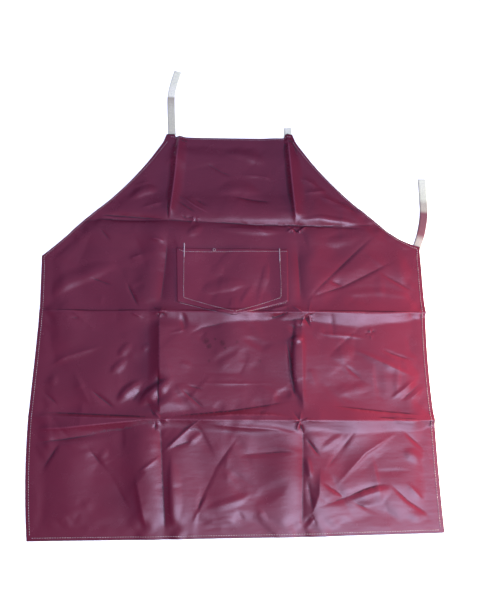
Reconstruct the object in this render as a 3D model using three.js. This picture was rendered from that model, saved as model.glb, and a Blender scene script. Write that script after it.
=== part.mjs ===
// Cleaning apron: a one-piece bib apron of coated cloth with a turned hem, a patch pocket and four sewn
// tapes. It lies face up on a flat surface, as it was unfolded, with the ridges and valleys of its old folds
// still in it. Millimetres, +Z up, +Y from the skirt's hem to the bib. The sizes below are in the apron's own
// plan, with x = 0 on its centre line and y = 0 at the skirt's hem. The finished group is then moved so that
// the origin is the middle of its footprint, on the surface that it lies on.
import * as THREE from "three";

// Cloth and tape
const CLOTH = 1.0; // thickness of the coated cloth
const HEM_WIDTH = 9; // how far the turned hem reaches in from the edge
const HEM_GAP = 0.4; // air between the panel and its turned hem
const FOLD_BULGE = 0.6; // how far the hem's turn stands out between its two layers
const HEM_STEP = 16; // the panel comes down from the hem to the surface over this distance
const TAPE_WIDTH = 16;
const TAPE_THICKNESS = 1.0;
const TAPE_GAP = 0.4; // air between a tape and the cloth above it, and between a tape's own layers

// Plan of the panel, one row for each line across it, from the skirt's hem to the bib's top edge. Each line
// runs from the left edge over the two long creases to the right edge. The bows are how far the edge above
// that line curves inwards, and cells is how many rows of facets lie above it.
const LINES = [
  {
    name: "hem",
    left: [-381, 0], crease1: [-127, -2], crease2: [122, -3], right: [382, -1],
    bowLeft: -4, bowRight: 1, cells: 9,
  },
  {
    name: "low_fold",
    left: [-391, 223], crease1: [-139, 212], crease2: [134, 204], right: [383, 199],
    bowLeft: 0, bowRight: 3, cells: 9,
  },
  {
    name: "middle_fold",
    left: [-380, 427], crease1: [-141, 420], crease2: [140, 412], right: [385, 406],
    bowLeft: 0, bowRight: 0, cells: 6,
  },
  {
    name: "waist",
    left: [-382, 541], crease1: [-129, 535], crease2: [139, 524], right: [385, 542],
    bowLeft: 2, bowRight: 6.5, cells: 4,
  },
  {
    name: "bib_fold",
    left: [-297, 619], crease1: [-123, 611], crease2: [137, 592], right: [309, 590],
    bowLeft: 11, bowRight: 10, cells: 9,
  },
  {
    name: "top",
    left: [-130, 798], crease1: [-102, 797], crease2: [127, 788], right: [137.5, 787.5],
  },
];

// Corner tabs of the bib's top edge, which hold the neck tapes
const TAB = { height: 7, step: 3 };
const TABS = [
  { from: -140, to: -110 },
  { from: 119, to: 150 },
];

// Folds across the apron. A ridge stands up along its line, and a valley lies down between two low shoulders.
const CROSS_FOLDS = [
  { line: "low_fold", kind: "ridge", height: 9, reach: 62 },
  { line: "middle_fold", kind: "ridge", height: 10, reach: 66 },
  { line: "bib_fold", kind: "valley", height: 4, reach: 80 },
];

// Creases down the apron, one row for each stretch between two lines. They turn over at every cross fold.
const LONG_CREASES = [
  { crease: "crease1", from: "hem", to: "low_fold", kind: "valley", height: 3.5, reach: 90 },
  { crease: "crease1", from: "low_fold", to: "middle_fold", kind: "ridge", height: 8, reach: 60 },
  { crease: "crease1", from: "middle_fold", to: "bib_fold", kind: "valley", height: 3.5, reach: 80 },
  { crease: "crease1", from: "bib_fold", to: "top", kind: "ridge", height: 6, reach: 55 },
  { crease: "crease2", from: "hem", to: "low_fold", kind: "valley", height: 4, reach: 90 },
  { crease: "crease2", from: "low_fold", to: "middle_fold", kind: "ridge", height: 9, reach: 64 },
  { crease: "crease2", from: "middle_fold", to: "bib_fold", kind: "valley", height: 3.5, reach: 80 },
  { crease: "crease2", from: "bib_fold", to: "top", kind: "ridge", height: 5, reach: 55 },
];
const CREASE_FADE = 0.22; // share of a stretch over which a long crease dies out before a cross fold

// Slow waves of the cloth between the folds. Their lower halves are flat on the surface.
const WAVE = { height: 2.2, lengthX: 235, lengthY: 190, shiftX: 40, shiftY: 15 };

// Facets: columns of the panel from its left edge to crease1, to crease2 and to its right edge
const COLUMNS = [11, 14, 11];
const CROWDING = 0.55; // how much the facets crowd towards folds and edges, from 0 to 1

// Patch pocket, sewn on at its sides and its pointed bottom, and open at its top edge. Its point reaches over
// the middle fold.
const POCKET = {
  topLeft: [-108, 549],
  topRight: [117, 542],
  bottomLeft: [-106, 440],
  point: [6, 409],
  bottomRight: [114, 435],
};
const POCKET_GAP = 0.8; // air between the pocket and the panel at the seam
const POCKET_SWELL = 2; // how much further the pocket stands off in its middle
const POCKET_CELLS = { across: 16, up: 9 };
const BRIDGE = [-1, -0.5, 0, 0.5, 1]; // places of the panel that hold the pocket up, in facets up or down
const LOOK_DOWN = 100; // height above all of the cloth, from which the pocket is let down on the panel

// Tapes: their middle lines in plan, from the sewn end outwards
const TAPES = {
  neck_tape_left: {
    plan: [[-119, 776], [-119.5, 815], [-121.5, 868], [-121, 900], [-115, 930], [-107, 957]],
    turns: false,
  },
  neck_tape_right: {
    plan: [[129, 770], [129, 815], [129, 668]],
    turns: true,
  },
  waist_tie_left: {
    plan: [[-366, 536], [-360, 480], [-350, 425], [-344, 386]],
    turns: false,
  },
  waist_tie_right: {
    plan: [[370, 519], [383, 546], [394, 576], [402, 612], [404, 650], [405, 690]],
    turns: false,
  },
};
const TAPE_STEPS = 18;
const TURN_STEPS = 6; // facets of the turn where a tape is folded back under itself
const LIFT_MARGIN = 16; // the cloth lies level this far to each side of a tape below it
const LIFT_SLOPE = 40; // and comes down to the surface over this distance

const COATED_CLOTH = { color: 0x6e2440, roughness: 0.42, metalness: 0 };
const POCKET_CLOTH = { color: 0x702642, roughness: 0.42, metalness: 0 };
const PALE_TAPE = { color: 0xc8c5c8, roughness: 0.9, metalness: 0 };
const ROSE_TAPE = { color: 0x98627a, roughness: 0.9, metalness: 0 };

const { lerp, clamp, smoothstep } = THREE.MathUtils;
const mix = (a, b, t) => a.map((value, k) => lerp(value, b[k], t));
const lineNamed = (name) => LINES.find((line) => line.name === name);
const STATIONS = ["left", "crease1", "crease2", "right"];

// The straight stretches through points sorted along one axis: the other coordinate at a given place
function along(points, axis, at) {
  const other = 1 - axis;
  let k = 0;
  while (k < points.length - 2 && at > points[k + 1][axis]) k += 1;
  const [a, b] = [points[k], points[k + 1]];
  return lerp(a[other], b[other], clamp((at - a[axis]) / (b[axis] - a[axis]), 0, 1));
}
const lineHeight = (name, x) => along(STATIONS.map((s) => lineNamed(name)[s]), 0, x);
const creasePlace = (crease, y) => along(LINES.map((line) => line[crease]), 1, y);

// Fold profiles at a distance s, as a share of the fold's reach
const PROFILES = {
  ridge: (s) => (s < 1 ? (1 - s) ** 2 : 0),
  valley: (s) => (s < 1 ? 6.75 * s * (1 - s) ** 2 : 0),
};

// A long crease dies out towards each cross fold, and runs through the free edges
function creaseFade({ from, to }, x, y) {
  const [low, high] = [lineHeight(from, x), lineHeight(to, x)];
  const share = (y - low) / (high - low);
  if (share < 0 && from !== "hem") return 0;
  if (share > 1 && to !== "top") return 0;
  const below = from === "hem" ? 1 : smoothstep(share, 0, CREASE_FADE);
  const above = to === "top" ? 1 : 1 - smoothstep(share, 1 - CREASE_FADE, 1);
  return below * above;
}

function foldHeight(x, y) {
  const across = CROSS_FOLDS.map(
    ({ line, kind, height, reach }) => height * PROFILES[kind](Math.abs(y - lineHeight(line, x)) / reach),
  );
  const down = LONG_CREASES.map((stretch) => {
    const away = Math.abs(x - creasePlace(stretch.crease, y)) / stretch.reach;
    return stretch.height * PROFILES[stretch.kind](away) * creaseFade(stretch, x, y);
  });
  const phaseX = (2 * Math.PI * (x - WAVE.shiftX)) / WAVE.lengthX;
  const phaseY = (2 * Math.PI * (y - WAVE.shiftY)) / WAVE.lengthY;
  const wave = WAVE.height * Math.max(0, Math.sin(phaseX) * Math.sin(phaseY));
  return Math.hypot(...across, ...down, wave);
}

// How high the cloth is held by the tapes below it: one layer, or two where a tape is folded under
function tapeLift(x, y) {
  const layer = TAPE_THICKNESS + TAPE_GAP;
  const place = new THREE.Vector3(x, y, 0);
  const nearest = new THREE.Vector3();
  let lift = 0;
  for (const { plan, turns } of Object.values(TAPES)) {
    let layers = 0;
    for (let k = 0; k + 1 < plan.length; k += 1) {
      const run = new THREE.Line3(new THREE.Vector3(...plan[k], 0), new THREE.Vector3(...plan[k + 1], 0));
      const away = run.closestPointToPoint(place, true, nearest).distanceTo(place);
      const level = TAPE_WIDTH / 2 + LIFT_MARGIN;
      const held = 1 - smoothstep(away, level, level + LIFT_SLOPE);
      layers = turns ? layers + held : Math.max(layers, held);
    }
    lift = Math.max(lift, layers * layer);
  }
  return lift;
}

// Distance in from the panel's outline, near enough to shape the step down from its hem
function edgeDistance(x, y, left, right) {
  const fromHem = y - lineHeight("hem", x);
  const fromTop = lineHeight("top", x) - y;
  return Math.min(x - left[0], right[0] - x, fromHem, fromTop);
}

// Height of the panel's lower face above the surface
function panelHeight(x, y, distance) {
  const step = 1 - smoothstep(distance, HEM_WIDTH, HEM_WIDTH + HEM_STEP);
  return (CLOTH + HEM_GAP) * step + tapeLift(x, y) + foldHeight(x, y);
}

// Shares from 0 to 1 that crowd towards both ends
function crowded(cells) {
  return Array.from({ length: cells + 1 }, (_, k) => {
    const t = k / cells;
    return t - (CROWDING * Math.sin(2 * Math.PI * t)) / (2 * Math.PI);
  });
}

// A point of the panel's edge between two lines, bowed towards the middle of the apron
function edgePoint(below, above, side, t) {
  const [a, b] = [below[side], above[side]];
  const bow = 4 * t * (1 - t) * (side === "left" ? below.bowLeft : -below.bowRight);
  const long = Math.hypot(b[0] - a[0], b[1] - a[1]);
  const point = mix(a, b, t);
  return [point[0] + (bow * (b[1] - a[1])) / long, point[1] - (bow * (b[0] - a[0])) / long];
}

function tabHeight(x) {
  return Math.max(...TABS.map(({ from, to }) => {
    const inside = Math.min(x - from, to - x);
    return TAB.height * smoothstep(inside, 0, TAB.step);
  }));
}

// One row of plan points: the hem's inner line beside each edge, and facets between the creases
function planRow(below, above, t) {
  const stations = [
    edgePoint(below, above, "left", t),
    mix(below.crease1, above.crease1, t),
    mix(below.crease2, above.crease2, t),
    edgePoint(below, above, "right", t),
  ];
  const ahead = Math.min(t + 0.01, 1);
  const behind = ahead - 0.01;
  const inset = (side, from, to) => {
    const [a, b] = [edgePoint(below, above, side, behind), edgePoint(below, above, side, ahead)];
    const lean = Math.abs((b[1] - a[1]) / Math.hypot(b[0] - a[0], b[1] - a[1]));
    return mix(from, to, Math.min(0.5, HEM_WIDTH / lean / Math.abs(to[0] - from[0])));
  };
  const innerLeft = inset("left", stations[0], stations[1]);
  const innerRight = inset("right", stations[3], stations[2]);
  const ends = [innerLeft, stations[1], stations[2], innerRight];
  const row = [stations[0]];
  COLUMNS.forEach((cells, block) => {
    const shares = crowded(cells);
    const first = block === 0 ? 0 : 1;
    shares.slice(first).forEach((share) => row.push(mix(ends[block], ends[block + 1], share)));
  });
  row.push(stations[3]);
  return row;
}

// All rows of plan points, with one row on the hem's inner line at the skirt's hem and at the bib's top
function panelPlan() {
  const rows = [];
  LINES.slice(0, -1).forEach((below, k) => {
    const above = LINES[k + 1];
    const tall = above.crease1[1] - below.crease1[1];
    const shares = crowded(below.cells).slice(0, -1);
    if (below.name === "hem") shares.splice(1, 1, HEM_WIDTH / tall);
    if (above.name === "top") shares.splice(-1, 1, 1 - HEM_WIDTH / tall);
    shares.forEach((share) => rows.push(planRow(below, above, share)));
  });
  const [below, top] = LINES.slice(-2);
  rows.push(planRow(below, top, 1).map(([x, y]) => [x, y + tabHeight(x)]));
  return rows;
}

// Collects shared vertices and quads, and gives back a closed indexed geometry
class Shell {
  constructor() {
    this.places = [];
    this.faces = [];
    this.known = new Map();
  }

  vertex(key, make) {
    if (!this.known.has(key)) {
      this.known.set(key, this.places.length);
      this.places.push(make());
    }
    return this.known.get(key);
  }

  quad(a, b, c, d) {
    this.faces.push(a, b, c, a, c, d);
  }

  // A wall between two loops of vertices. Seen from outside a loop that runs anticlockwise, low lies below.
  wall(low, high) {
    low.forEach((_, k) => {
      const next = (k + 1) % low.length;
      this.quad(low[k], low[next], high[next], high[k]);
    });
  }

  geometry() {
    const made = new THREE.BufferGeometry();
    made.setAttribute("position", new THREE.Float32BufferAttribute(this.places.flat(), 3));
    made.setIndex(this.faces);
    made.computeVertexNormals();
    return made;
  }
}

// The grid places round a rectangle of cells, anticlockwise, a number of cells in from its rim
function loopOf(across, up, inset) {
  const [right, top] = [across - inset, up - inset];
  const loop = [];
  for (let i = inset; i < right; i += 1) loop.push([i, inset]);
  for (let j = inset; j < top; j += 1) loop.push([right, j]);
  for (let i = right; i > inset; i -= 1) loop.push([i, top]);
  for (let j = top; j > inset; j -= 1) loop.push([inset, j]);
  return loop;
}

// The panel is one sheet whose rim is turned under as a hem: an upper and a lower face, the turned strip
// below them, the rounded turn outside, the tight turn inside and the strip's cut edge.
function panelGeometry() {
  const plan = panelPlan();
  const [across, up] = [plan[0].length - 1, plan.length - 1];
  const onRim = (i, j) => i === 0 || j === 0 || i === across || j === up;
  const inward = (k, last) => clamp(k, 1, last - 1);
  const height = (i, j) => {
    const [x, y] = plan[j][i];
    const ring = Math.min(i, j, across - i, up - j);
    const distance = ring <= 1 ? 0 : edgeDistance(x, y, plan[j][0], plan[j][across]);
    return panelHeight(x, y, distance);
  };
  const insetBy = (i, j, share) => mix(plan[j][i], plan[inward(j, up)][inward(i, across)], share);
  const layers = {
    upper: { drop: -CLOTH, inset: 0 },
    lower: { drop: 0, inset: CLOTH / HEM_WIDTH },
    stripUpper: { drop: HEM_GAP, inset: CLOTH / HEM_WIDTH },
    stripLower: { drop: HEM_GAP + CLOTH, inset: 0 },
    turn: { drop: HEM_GAP / 2, inset: -FOLD_BULGE / HEM_WIDTH },
  };
  const shell = new Shell();
  const at = (layer, i, j) =>
    shell.vertex(`${layer} ${i} ${j}`, () => {
      const { drop, inset } = layers[layer];
      const [x, y] = insetBy(i, j, onRim(i, j) ? inset : 0);
      return [x, y, height(i, j) - drop];
    });
  for (let j = 0; j < up; j += 1) {
    for (let i = 0; i < across; i += 1) {
      const corners = [[i, j], [i + 1, j], [i + 1, j + 1], [i, j + 1]];
      const facing = (layer) => corners.map(([a, b]) => at(layer, a, b));
      shell.quad(...facing("upper"));
      shell.quad(...facing("lower").reverse());
      if (corners.some(([a, b]) => onRim(a, b))) {
        shell.quad(...facing("stripUpper"));
        shell.quad(...facing("stripLower").reverse());
      }
    }
  }
  const rim = (layer) => loopOf(across, up, 0).map(([i, j]) => at(layer, i, j));
  const cutEdge = (layer) => loopOf(across, up, 1).map(([i, j]) => at(layer, i, j));
  shell.wall(rim("turn"), rim("upper"));
  shell.wall(rim("stripLower"), rim("turn"));
  shell.wall(rim("lower"), rim("stripUpper"));
  shell.wall(cutEdge("stripUpper"), cutEdge("stripLower"));
  return shell.geometry();
}

// A sheet with an even thickness over a grid of places, closed round its rim
function sheetGeometry(places, thickness) {
  const [across, up] = [places[0].length - 1, places.length - 1];
  const shell = new Shell();
  const at = (raise, i, j) =>
    shell.vertex(`${raise} ${i} ${j}`, () => {
      const [x, y, z] = places[j][i];
      return [x, y, z + raise];
    });
  for (let j = 0; j < up; j += 1) {
    for (let i = 0; i < across; i += 1) {
      const corners = [[i, j], [i + 1, j], [i + 1, j + 1], [i, j + 1]];
      shell.quad(...corners.map(([a, b]) => at(thickness, a, b)));
      shell.quad(...corners.map(([a, b]) => at(0, a, b)).reverse());
    }
  }
  const loop = loopOf(across, up, 0);
  shell.wall(loop.map(([i, j]) => at(0, i, j)), loop.map(([i, j]) => at(thickness, i, j)));
  return shell.geometry();
}

// Height of a piece's upper face at a place in plan
function topOf(mesh, x, y) {
  const downwards = new THREE.Raycaster(new THREE.Vector3(x, y, LOOK_DOWN), new THREE.Vector3(0, 0, -1));
  return downwards.intersectObject(mesh)[0].point.z;
}

// The pocket lies on the panel along its seam, swells a little in its middle and is loose at its top edge.
// Its cloth bridges the fold below it: each place rests on the highest panel within one facet up or down.
function pocketGeometry(panel) {
  const { topLeft, topRight, bottomLeft, point, bottomRight } = POCKET;
  const { across, up } = POCKET_CELLS;
  const facet = (topLeft[1] - bottomLeft[1]) / up;
  const places = [];
  for (let j = 0; j <= up; j += 1) {
    const row = [];
    for (let i = 0; i <= across; i += 1) {
      const [s, t] = [i / across, j / up];
      const foot = lerp(bottomLeft[0], bottomRight[0], s);
      const bottom = [foot, along([bottomLeft, point, bottomRight], 0, foot)];
      const [x, y] = mix(bottom, mix(topLeft, topRight, s), t);
      const held = Math.max(...BRIDGE.map((reach) => topOf(panel, x, y + reach * facet)));
      const swell = POCKET_SWELL * Math.sin(Math.PI * s) * Math.sin((Math.PI * t) / 2);
      row.push([x, y, held + POCKET_GAP + swell]);
    }
    places.push(row);
  }
  return sheetGeometry(places, CLOTH);
}

// Middle line of a tape in space. One that turns is folded back under itself, its layers a small gap apart.
function tapeLine({ plan, turns }) {
  const low = TAPE_THICKNESS / 2;
  if (!turns) {
    const curve = new THREE.CatmullRomCurve3(plan.map(([x, y]) => new THREE.Vector3(x, y, low)));
    return curve.getPoints(TAPE_STEPS);
  }
  const [sewn, turn, end] = plan;
  const radius = (TAPE_THICKNESS + TAPE_GAP) / 2;
  const line = [new THREE.Vector3(...sewn, low + 2 * radius)];
  for (let k = 0; k <= TURN_STEPS; k += 1) {
    const angle = Math.PI / 2 - (Math.PI * k) / TURN_STEPS;
    const reach = turn[1] - low + radius * (Math.cos(angle) - 1);
    line.push(new THREE.Vector3(turn[0], reach, low + radius + radius * Math.sin(angle)));
  }
  line.push(new THREE.Vector3(...end, low));
  return line;
}

// A flat tape along its middle line: a strip of even width and thickness with square ends
function tapeGeometry(tape) {
  const line = tapeLine(tape);
  const shell = new Shell();
  const sideways = new THREE.Vector3();
  const sections = line.map((point, k) => {
    const ahead = line[Math.min(k + 1, line.length - 1)];
    const behind = line[Math.max(k - 1, 0)];
    const tangent = ahead.clone().sub(behind).normalize();
    const level = new THREE.Vector3(tangent.y, -tangent.x, 0);
    if (!tape.turns || k === 0) sideways.copy(level).normalize();
    const normal = sideways.clone().cross(tangent).normalize();
    const corner = (across, raise) => {
      const place = point.clone().addScaledVector(sideways, (across * TAPE_WIDTH) / 2);
      return place.addScaledVector(normal, (raise * TAPE_THICKNESS) / 2);
    };
    const corners = [corner(-1, -1), corner(1, -1), corner(1, 1), corner(-1, 1)];
    return corners.map((place, c) => shell.vertex(`${k} ${c}`, () => place.toArray()));
  });
  for (let k = 0; k + 1 < sections.length; k += 1) shell.wall(sections[k + 1], sections[k]);
  shell.quad(...sections[0]);
  shell.quad(...sections[sections.length - 1].reverse());
  return shell.geometry();
}

function piece(name, geometry, finish) {
  const mesh = new THREE.Mesh(geometry, new THREE.MeshStandardMaterial(finish));
  mesh.name = name;
  return mesh;
}

const apron = new THREE.Group();
const panel = piece("front_panel", panelGeometry(), COATED_CLOTH);
apron.add(panel);
apron.add(piece("pocket", pocketGeometry(panel), POCKET_CLOTH));
for (const [name, tape] of Object.entries(TAPES)) {
  apron.add(piece(name, tapeGeometry(tape), name.startsWith("waist") ? ROSE_TAPE : PALE_TAPE));
}

// The origin is the middle of the footprint, on the surface that the apron lies on
const box = new THREE.Box3().setFromObject(apron);
const middle = box.getCenter(new THREE.Vector3());
apron.position.set(-middle.x, -middle.y, -box.min.z);

export default apron;
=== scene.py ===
import math

import bpy
import numpy as np
from mathutils import Matrix, Vector
from mathutils.bvhtree import BVHTree
from mathutils.geometry import delaunay_2d_cdt
from mathutils.kdtree import KDTree


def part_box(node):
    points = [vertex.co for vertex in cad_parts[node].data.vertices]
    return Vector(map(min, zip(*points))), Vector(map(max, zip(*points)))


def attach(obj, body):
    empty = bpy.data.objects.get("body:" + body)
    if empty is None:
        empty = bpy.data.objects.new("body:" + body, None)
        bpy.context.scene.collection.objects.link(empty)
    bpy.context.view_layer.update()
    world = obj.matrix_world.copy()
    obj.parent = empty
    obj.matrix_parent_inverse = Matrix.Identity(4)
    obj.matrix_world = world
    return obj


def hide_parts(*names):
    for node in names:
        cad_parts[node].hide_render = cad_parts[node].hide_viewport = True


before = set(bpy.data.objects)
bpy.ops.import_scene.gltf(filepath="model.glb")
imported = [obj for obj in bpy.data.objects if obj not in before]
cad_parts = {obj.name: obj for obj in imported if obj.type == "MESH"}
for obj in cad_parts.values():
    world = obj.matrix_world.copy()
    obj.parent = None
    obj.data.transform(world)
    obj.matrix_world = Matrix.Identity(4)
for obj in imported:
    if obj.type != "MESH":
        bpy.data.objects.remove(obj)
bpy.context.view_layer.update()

# Sizes of the plan and the cloth are in millimetres: x to the right from the apron's centre line, y from the
# skirt's hem towards the bib, z up from the surface that it lies on. Meshes are made in metres.
MM = 0.001
TINY = 1e-9
LOOK_FROM = 1000.0

# The right neck tape lies straight along the plan, so its box gives the plan's place in the frame
NECK_TAPE_X = 129.0
NECK_TAPE_TURN_Y = 815.0
TAPE_LOW, TAPE_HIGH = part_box("neck_tape_right")
PLAN_X = (TAPE_LOW.x + TAPE_HIGH.x) / 2 - NECK_TAPE_X * MM
PLAN_Y = TAPE_HIGH.y - NECK_TAPE_TURN_Y * MM

# Photograph and camera
IMAGE_WIDTH = 480
IMAGE_HEIGHT = 613
FOCAL_PIXELS = 480.0
SENSOR_WIDTH = 36.0
CAMERA_TILT = math.radians(10.81)
CAMERA_ROLL = math.radians(1.28)
CAMERA_FOOT = (18.2, 247.9)
CAMERA_HEIGHT = 941.2
CLOTH_LEVEL = 4.0

# Cloth
CLOTH = 1.0
HEM_WIDTH = 9.0
HEM_GAP = 0.4
FOLD_BULGE = 0.6
HEM_STEP = 38.0
HEM_RINGS = (0.0, 0.8, 3.4, 6.2, 9.0)
TAPE_WIDTH = 16.0
TAPE_THICKNESS = 1.0
TAPE_GAP = 0.4
LIFT_MARGIN = 16.0
LIFT_SLOPE = 40.0

# Lines across the panel: name, left edge, two long creases, right edge, inward bow of each edge above it
LINES = (
    ("hem", (-381, 0), (-127, -2), (122, -3), (382, -1), -4, 1),
    ("low_fold", (-391, 223), (-139, 212), (134, 204), (383, 199), 0, 3),
    ("middle_fold", (-380, 427), (-141, 420), (140, 412), (385, 406), 0, 0),
    ("waist", (-382, 541), (-129, 535), (139, 524), (385, 542), 2, 6.5),
    ("bib_fold", (-297, 619), (-123, 611), (137, 592), (309, 590), 11, 10),
    ("top", (-130, 798), (-102, 797), (127, 788), (137.5, 787.5), 0, 0),
)
LINE_NAMES = [line[0] for line in LINES]
LEFT, FIRST, SECOND, RIGHT, LEFT_BOW, RIGHT_BOW = range(1, 7)
EDGE_STEP = 0.01
WIDEST_HEM = 0.5
TAB_HEIGHT = 7.0
TAB_STEP = 4.0
TABS = ((-140, -110), (119, 150))

# Cells of the panel's hem: rows above each line, and columns between the creases
ROW_CELLS = (50, 46, 27, 20, 44)
COLUMN_CELLS = (67, 80, 67)
CROWDING = 0.35

# Spacing of the panel's points inside its hem: between the creases, along them, beside them, and below
FILL_STEP = 3.3
CREASE_STEP = 3.6
CREASE_SIDE = 2.4
LOWER_STEP = 9.0
CLEARANCE = 0.7
MERGE = 0.7

# Folds across the apron. Each station: x, height, reach towards the bib, reach towards the hem
CROSS_FOLDS = (
    ("low_fold", "ridge", (
        (-391, 2.5, 40, 44), (-170, 3.5, 40, 30), (-120, 6, 52, 20), (18, 7, 52, 24), (116, 6.5, 60, 28),
        (165, 7, 66, 26), (267, 6.5, 60, 24), (383, 5.5, 50, 18),
    )),
    ("middle_fold", "ridge", (
        (-384, 3.5, 40, 40), (-160, 4, 45, 40), (-138, 7, 55, 26), (-60, 7.5, 55, 34), (18, 7, 60, 18),
        (116, 8, 66, 16), (159, 8.5, 66, 18), (250, 8.5, 60, 30), (320, 8, 56, 22), (379, 6.5, 50, 14),
    )),
    ("bib_fold", "valley", ((-297, 3, 60, 60), (-123, 4, 70, 70), (137, 4, 74, 74), (309, 3, 60, 60))),
)
UPPER_POWER = 3.2
LOWER_POWER = 1.25
VALLEY_POWER = 2.0
VALLEY_SCALE = 6.75

# Long creases: which one, the lines that it runs between, kind, height, reach to the left and to the right
LONG_CREASES = (
    (FIRST, "hem", "low_fold", "valley", 3.5, 80, 84),
    (FIRST, "low_fold", "middle_fold", "ridge", 8, 24, 110),
    (FIRST, "middle_fold", "bib_fold", "valley", 3.5, 70, 84),
    (FIRST, "bib_fold", "top", "ridge", 8, 15, 21),
    (SECOND, "hem", "low_fold", "valley", 3.4, 100, 80),
    (SECOND, "low_fold", "middle_fold", "ridge", 2.5, 14, 36),
    (SECOND, "middle_fold", "bib_fold", "valley", 3.5, 70, 90),
    (SECOND, "bib_fold", "top", "ridge", 8, 11, 26),
)
LONG_POWER = 1.4
CREASE_FADE = 0.16

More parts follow.
